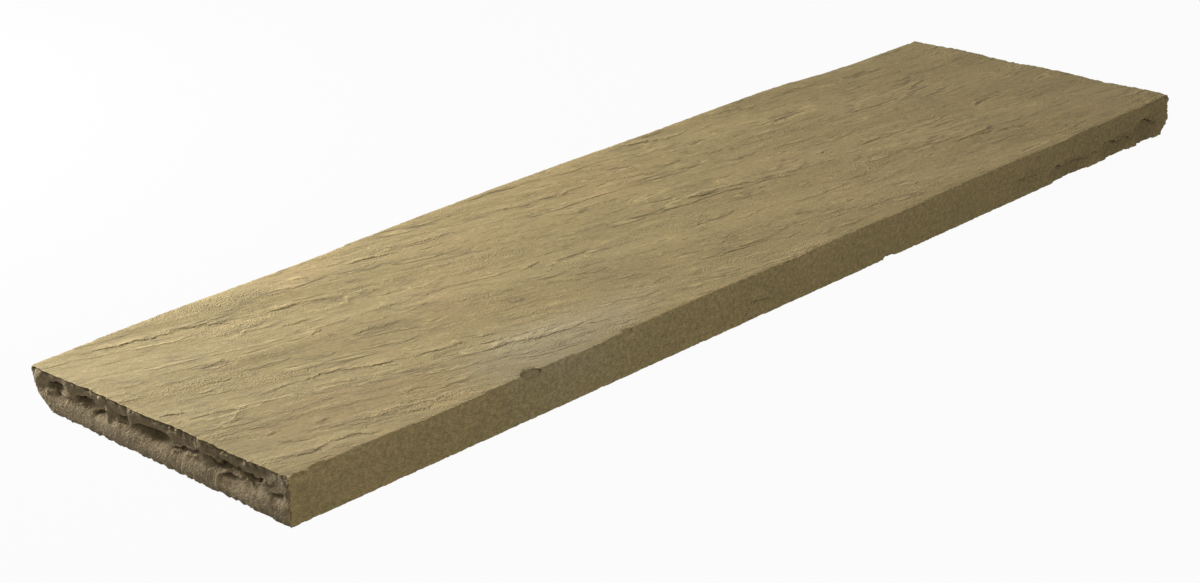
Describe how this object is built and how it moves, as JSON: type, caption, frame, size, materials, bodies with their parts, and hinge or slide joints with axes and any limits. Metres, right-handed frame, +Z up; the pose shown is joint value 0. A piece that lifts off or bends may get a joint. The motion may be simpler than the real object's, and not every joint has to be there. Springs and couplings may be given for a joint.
{
  "type": "wall coping stone",
  "caption": "Riven sandstone wall coping stone: a long flat slab with a split top, pitched edges and a flat bed that caps the head of a garden wall.",
  "frame": {"origin": "middle of the flat bed that lies on the wall", "axes": "+X along the wall, +Y across it from the straight front face to the pitched back edge, +Z up out of the riven top"},
  "size_m": [1, 0.2798, 0.0358],
  "materials": {
    "riven_sandstone": "riven, matt"
  },
  "bodies": {
    "root": {"coping_stone": "riven_sandstone"}
  },
  "joints": []
}
